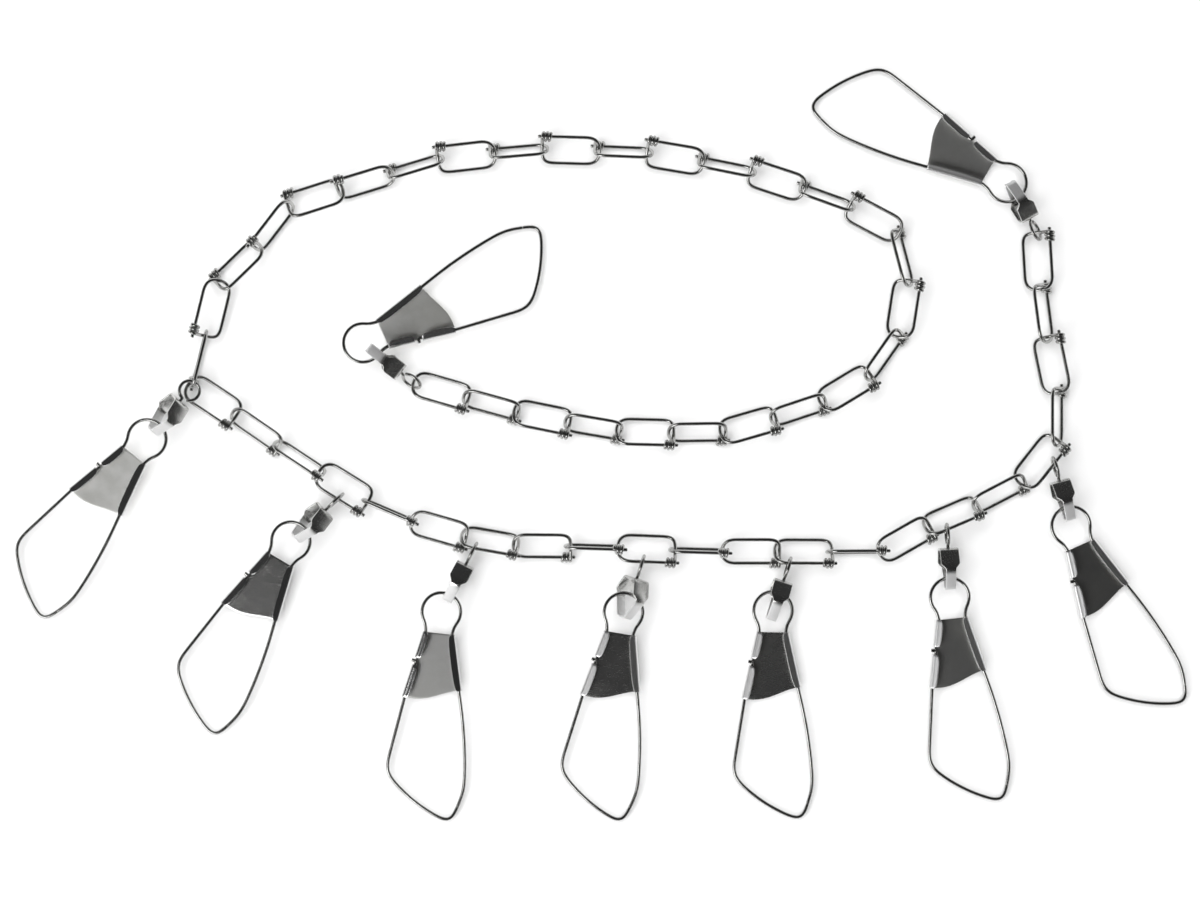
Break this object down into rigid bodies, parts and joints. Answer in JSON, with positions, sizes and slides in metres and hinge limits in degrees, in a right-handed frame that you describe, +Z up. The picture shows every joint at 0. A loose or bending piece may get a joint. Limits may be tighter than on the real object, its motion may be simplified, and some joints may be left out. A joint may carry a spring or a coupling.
{
  "type": "fish stringer",
  "caption": "Chain fish stringer of knotted wire links, laid out in a loop, with safety-pin snaps on box swivels along it for holding a catch.",
  "frame": {"origin": "on the table, under the middle of the whole layout", "axes": "+Z up from the table, +X along the layout's longer side, +Y towards the top of the view"},
  "size_m": [0.5258, 0.337, 0.021],
  "materials": {
    "link_wire": "bright plated wire",
    "swivel_wire": "bright plated wire",
    "swivel_strip": "bright plated strip",
    "snap_wire": "bright plated spring wire",
    "clasp_sheet": "plated sheet"
  },
  "bodies": {
    "run_01": {"chain_run_01": "link_wire"},
    "run_02": {"chain_run_02": "link_wire"},
    "run_03": {"chain_run_03": "link_wire"},
    "run_04": {"chain_run_04": "link_wire"},
    "run_05": {"chain_run_05": "link_wire"},
    "run_06": {"chain_run_06": "link_wire"},
    "run_07": {"chain_run_07": "link_wire"},
    "run_08": {"chain_run_08": "link_wire"},
    "run_09": {"chain_run_09": "link_wire"},
    "run_10": {"chain_run_10": "link_wire"},
    "run_11": {"chain_run_11": "link_wire"},
    "run_12": {"chain_run_12": "link_wire"},
    "run_13": {"chain_run_13": "link_wire"},
    "run_14": {"chain_run_14": "link_wire"},
    "run_15": {"chain_run_15": "link_wire"},
    "eye_1": {"swivel_eye_1": "swivel_wire"},
    "box_1": {"swivel_box_1": "swivel_strip"},
    "snap_1": {"snap_wire_1": "snap_wire", "clasp_plate_1": "clasp_sheet"},
    "gate_1": {"snap_gate_1": "snap_wire"},
    "eye_2": {"swivel_eye_2": "swivel_wire"},
    "box_2": {"swivel_box_2": "swivel_strip"},
    "snap_2": {"snap_wire_2": "snap_wire", "clasp_plate_2": "clasp_sheet"},
    "gate_2": {"snap_gate_2": "snap_wire"},
    "eye_3": {"swivel_eye_3": "swivel_wire"},
    "box_3": {"swivel_box_3": "swivel_strip"},
    "snap_3": {"snap_wire_3": "snap_wire", "clasp_plate_3": "clasp_sheet"},
    "gate_3": {"snap_gate_3": "snap_wire"},
    "eye_4": {"swivel_eye_4": "swivel_wire"},
    "box_4": {"swivel_box_4": "swivel_strip"},
    "snap_4": {"snap_wire_4": "snap_wire", "clasp_plate_4": "clasp_sheet"},
    "gate_4": {"snap_gate_4": "snap_wire"},
    "eye_5": {"swivel_eye_5": "swivel_wire"},
    "box_5": {"swivel_box_5": "swivel_strip"},
    "snap_5": {"snap_wire_5": "snap_wire", "clasp_plate_5": "clasp_sheet"},
    "gate_5": {"snap_gate_5": "snap_wire"},
    "eye_6": {"swivel_eye_6": "swivel_wire"},
    "box_6": {"swivel_box_6": "swivel_strip"},
    "snap_6": {"snap_wire_6": "snap_wire", "clasp_plate_6": "clasp_sheet"},
    "gate_6": {"snap_gate_6": "snap_wire"},
    "eye_7": {"swivel_eye_7": "swivel_wire"},
    "box_7": {"swivel_box_7": "swivel_strip"},
    "snap_7": {"snap_wire_7": "snap_wire", "clasp_plate_7": "clasp_sheet"},
    "gate_7": {"snap_gate_7": "snap_wire"},
    "eye_8": {"swivel_eye_8": "swivel_wire"},
    "box_8": {"swivel_box_8": "swivel_strip"},
    "snap_8": {"snap_wire_8": "snap_wire", "clasp_plate_8": "clasp_sheet"},
    "gate_8": {"snap_gate_8": "snap_wire"},
    "eye_9": {"swivel_eye_9": "swivel_wire"},
    "box_9": {"swivel_box_9": "swivel_strip"},
    "snap_9": {"snap_wire_9": "snap_wire", "clasp_plate_9": "clasp_sheet"},
    "gate_9": {"snap_gate_9": "snap_wire"}
  },
  "joints": [
    {"name": "chain_joint_01", "type": "hinge", "parent": "run_02", "child": "run_01", "pos_m": [-0.0142, 0.00981, 0.00636], "axis": [-0.1805, -0.8881, 0.4226], "range_deg": [-65, 65]},
    {"name": "chain_joint_02", "type": "hinge", "parent": "run_03", "child": "run_02", "pos_m": [0.07781, 0.01207, 0.00636], "axis": [0.25, -0.8711, 0.4226], "range_deg": [-65, 65]},
    {"name": "chain_joint_03", "type": "hinge", "parent": "run_04", "child": "run_03", "pos_m": [0.1332, 0.05041, 0.00824], "axis": [-0.4096, 0.2867, 0.866], "range_deg": [-65, 65]},
    {"name": "chain_joint_04", "type": "hinge", "parent": "run_05", "child": "run_04", "pos_m": [0.11046, 0.10659, 0.00709], "axis": [0.424, 0.801, 0.4226], "range_deg": [-65, 65]},
    {"name": "chain_joint_05", "type": "hinge", "parent": "run_06", "child": "run_05", "pos_m": [0.02013, 0.13036, 0.00709], "axis": [-0.1501, -0.8938, -0.4226], "range_deg": [-65, 65]},
    {"name": "chain_joint_06", "type": "hinge", "parent": "run_07", "child": "run_06", "pos_m": [-0.07331, 0.12728, 0.00709], "axis": [0.1036, -0.9004, -0.4226], "range_deg": [-65, 65]},
    {"name": "chain_joint_07", "type": "hinge", "parent": "run_08", "child": "run_07", "pos_m": [-0.14047, 0.10647, 0.00714], "axis": [0.2795, -0.8697, 0.4067], "range_deg": [-65, 65]},
    {"name": "chain_joint_08", "type": "hinge", "parent": "run_09", "child": "run_08", "pos_m": [-0.16347, 0.01289, 0.00758], "axis": [-0.5441, -0.8209, 0.1736], "range_deg": [-65, 65]},
    {"name": "chain_joint_09", "type": "hinge", "parent": "run_09", "child": "run_10", "pos_m": [-0.10468, -0.02561, 0.00767], "axis": [-0.5151, -0.8315, 0.2079], "range_deg": [-65, 65]},
    {"name": "chain_joint_10", "type": "hinge", "parent": "run_10", "child": "run_11", "pos_m": [-0.01397, -0.04551, 0.00765], "axis": [-0.0074, -0.8191, -0.5736], "range_deg": [-65, 65]},
    {"name": "chain_joint_11", "type": "hinge", "parent": "run_11", "child": "run_12", "pos_m": [0.03272, -0.04717, 0.00765], "axis": [0.0377, 0.9264, -0.3746], "range_deg": [-65, 65]},
    {"name": "chain_joint_12", "type": "hinge", "parent": "run_12", "child": "run_13", "pos_m": [0.14649, -0.03617, 0.00765], "axis": [0.4505, -0.7864, -0.4226], "range_deg": [-65, 65]},
    {"name": "chain_joint_13", "type": "hinge", "parent": "run_13", "child": "run_14", "pos_m": [0.20343, 0.00232, 0.00695], "axis": [-0.7115, 0.5614, -0.4226], "range_deg": [-65, 65]},
    {"name": "chain_joint_14", "type": "hinge", "parent": "run_14", "child": "run_15", "pos_m": [0.19875, 0.04803, 0.00695], "axis": [-0.9081, -0.1871, -0.3746], "range_deg": [-65, 65]},
    {"name": "eye_swing_1", "type": "hinge", "parent": "run_01", "child": "eye_1", "pos_m": [-0.08435, 0.02778, 0.00636], "axis": [-0.2515, -0.8707, 0.4226], "range_deg": [-60, 15]},
    {"name": "swivel_turn_1", "type": "hinge", "parent": "eye_1", "child": "box_1", "pos_m": [-0.09705, 0.03774, 0.01057], "axis": [-0.7785, 0.6104, 0.1461], "range_deg": [-150, 150]},
    {"name": "snap_swing_1", "type": "hinge", "parent": "box_1", "child": "snap_1", "pos_m": [-0.10029, 0.04028, 0.00802], "axis": [-0.617, -0.7869, 0], "range_deg": [-60, 60]},
    {"name": "gate_spring_1", "type": "hinge", "parent": "snap_1", "child": "gate_1", "pos_m": [-0.03542, 0.09734, 0.0033], "axis": [-0.0517, -0.0239, -0.9984], "range_deg": [0, 6], "stiffness_Nm_per_rad": 0.3, "springref_deg": -4.01},
    {"name": "eye_swing_2", "type": "hinge", "parent": "run_08", "child": "eye_2", "pos_m": [-0.18242, 0.02566, 0.01193], "axis": [0.1685, -0.0421, 0.9848], "range_deg": [-60, 15]},
    {"name": "swivel_turn_2", "type": "hinge", "parent": "eye_2", "child": "box_2", "pos_m": [-0.19425, 0.01261, 0.01151], "axis": [-0.6717, -0.7408, 0], "continuous": true},
    {"name": "snap_swing_2", "type": "hinge", "parent": "box_2", "child": "snap_2", "pos_m": [-0.19734, 0.00867, 0.01207], "axis": [-0.7408, 0.6717, 0], "range_deg": [-60, 60]},
    {"name": "gate_spring_2", "type": "hinge", "parent": "snap_2", "child": "gate_2", "pos_m": [-0.24467, -0.07508, 0.00354], "axis": [0.0571, 0.0692, -0.996], "range_deg": [0, 6], "stiffness_Nm_per_rad": 0.3, "springref_deg": -4.01},
    {"name": "eye_swing_3", "type": "hinge", "parent": "run_09", "child": "eye_3", "pos_m": [-0.11807, -0.02445, 0.00896], "axis": [0.8501, -0.5266, 0], "range_deg": [-60, 15]},
    {"name": "swivel_turn_3", "type": "hinge", "parent": "eye_3", "child": "box_3", "pos_m": [-0.13, -0.03557, 0.01155], "axis": [-0.7308, -0.6815, 0.0376], "continuous": true},
    {"name": "snap_swing_3", "type": "hinge", "parent": "box_3", "child": "snap_3", "pos_m": [-0.13279, -0.03747, 0.01058], "axis": [-0.682, 0.7314, 0], "range_deg": [-60, 60]},
    {"name": "gate_spring_3", "type": "hinge", "parent": "snap_3", "child": "gate_3", "pos_m": [-0.16817, -0.12635, 0.00343], "axis": [0.0384, 0.0649, -0.9972], "range_deg": [0, 6], "stiffness_Nm_per_rad": 0.3, "springref_deg": -4.01},
    {"name": "eye_swing_4", "type": "hinge", "parent": "run_10", "child": "eye_4", "pos_m": [-0.05697, -0.0463, 0.01164], "axis": [0.9847, -0.1744, 0], "range_deg": [-60, 15]},
    {"name": "swivel_turn_4", "type": "hinge", "parent": "eye_4", "child": "box_4", "pos_m": [-0.06492, -0.06166, 0.01057], "axis": [-0.4602, -0.8878, 0], "continuous": true},
    {"name": "snap_swing_4", "type": "hinge", "parent": "box_4", "child": "snap_4", "pos_m": [-0.06792, -0.06743, 0.00919], "axis": [-0.8878, 0.4602, 0], "range_deg": [-60, 60]},
    {"name": "gate_spring_4", "type": "hinge", "parent": "snap_4", "child": "gate_4", "pos_m": [-0.06498, -0.16285, 0.00333], "axis": [0.0073, 0.0615, -0.9981], "range_deg": [0, 6], "stiffness_Nm_per_rad": 0.3, "springref_deg": -4.01},
    {"name": "eye_swing_5", "type": "hinge", "parent": "run_11", "child": "eye_5", "pos_m": [0.018, -0.05232, 0.00997], "axis": [0.9992, -0.0406, 0], "range_deg": [-60, 15]},
    {"name": "swivel_turn_5", "type": "hinge", "parent": "eye_5", "child": "box_5", "pos_m": [0.01274, -0.06852, 0.01144], "axis": [0.309, 0.9511, 0], "continuous": true},
    {"name": "snap_swing_5", "type": "hinge", "parent": "box_5", "child": "snap_5", "pos_m": [0.01222, -0.06699, 0.01007], "axis": [0.9511, -0.309, 0], "range_deg": [-45, 20]},
    {"name": "gate_spring_5", "type": "hinge", "parent": "snap_5", "child": "gate_5", "pos_m": [0.01243, -0.1631, 0.00339], "axis": [0.0115, 0.0693, -0.9975], "range_deg": [0, 6], "stiffness_Nm_per_rad": 0.3, "springref_deg": -4.01},
    {"name": "eye_swing_6", "type": "hinge", "parent": "run_12", "child": "eye_6", "pos_m": [0.08361, -0.05291, 0.0112], "axis": [1, -0.0066, 0], "range_deg": [-60, 15]},
    {"name": "swivel_turn_6", "type": "hinge", "parent": "eye_6", "child": "box_6", "pos_m": [0.07821, -0.06953, 0.01057], "axis": [0.309, 0.9511, 0], "range_deg": [-150, 150]},
    {"name": "snap_swing_6", "type": "hinge", "parent": "box_6", "child": "snap_6", "pos_m": [0.0792, -0.06648, 0.00642], "axis": [-0.9511, 0.309, 0], "range_deg": [-60, 60]},
    {"name": "gate_spring_6", "type": "hinge", "parent": "snap_6", "child": "gate_6", "pos_m": [0.09225, -0.16142, 0.00313], "axis": [0.0006, 0.0347, -0.9994], "range_deg": [0, 6], "stiffness_Nm_per_rad": 0.3, "springref_deg": -4.01},
    {"name": "eye_swing_7", "type": "hinge", "parent": "run_13", "child": "eye_7", "pos_m": [0.15402, -0.03796, 0.01117], "axis": [0.919, 0.3942, 0], "range_deg": [-60, 15]},
    {"name": "swivel_turn_7", "type": "hinge", "parent": "eye_7", "child": "box_7", "pos_m": [0.15493, -0.05538, 0.01057], "axis": [-0.0523, 0.9986, 0], "continuous": true},
    {"name": "snap_swing_7", "type": "hinge", "parent": "box_7", "child": "snap_7", "pos_m": [0.15518, -0.05998, 0.008], "axis": [-0.9986, -0.0523, 0], "range_deg": [-60, 60]},
    {"name": "gate_spring_7", "type": "hinge", "parent": "snap_7", "child": "gate_7", "pos_m": [0.18173, -0.1527, 0.00324], "axis": [-0.0052, 0.0498, -0.9987], "range_deg": [0, 6], "stiffness_Nm_per_rad": 0.3, "springref_deg": -4.01},
    {"name": "eye_swing_8", "type": "hinge", "parent": "run_13", "child": "eye_8", "pos_m": [0.20196, -0.00861, 0.00957], "axis": [0.6195, 0.785, 0], "range_deg": [-60, 15]},
    {"name": "swivel_turn_8", "type": "hinge", "parent": "eye_8", "child": "box_8", "pos_m": [0.20663, -0.0249, 0.01057], "axis": [-0.2756, 0.9613, 0], "continuous": true},
    {"name": "snap_swing_8", "type": "hinge", "parent": "box_8", "child": "snap_8", "pos_m": [0.20762, -0.02836, 0.00738], "axis": [0.9613, 0.2756, 0], "range_deg": [-60, 60]},
    {"name": "gate_spring_8", "type": "hinge", "parent": "snap_8", "child": "gate_8", "pos_m": [0.2616, -0.10805, 0.0032], "axis": [-0.0183, 0.04, -0.999], "range_deg": [0, 6], "stiffness_Nm_per_rad": 0.3, "springref_deg": -4.01},
    {"name": "eye_swing_9", "type": "hinge", "parent": "run_15", "child": "eye_9", "pos_m": [0.19428, 0.09482, 0.00655], "axis": [-0.9255, -0.0553, -0.3746], "range_deg": [-60, 15]},
    {"name": "swivel_turn_9", "type": "hinge", "parent": "eye_9", "child": "box_9", "pos_m": [0.18631, 0.10885, 0.01057], "axis": [-0.4893, 0.8613, 0.1371], "continuous": true},
    {"name": "snap_swing_9", "type": "hinge", "parent": "box_9", "child": "snap_9", "pos_m": [0.18563, 0.11005, 0.00572], "axis": [-0.8695, -0.4939, 0], "range_deg": [-60, 60]},
    {"name": "gate_spring_9", "type": "hinge", "parent": "snap_9", "child": "gate_9", "pos_m": [0.09797, 0.14626, 0.00308], "axis": [0.0242, -0.0141, -0.9996], "range_deg": [0, 6], "stiffness_Nm_per_rad": 0.3, "springref_deg": -4.01}
  ]
}
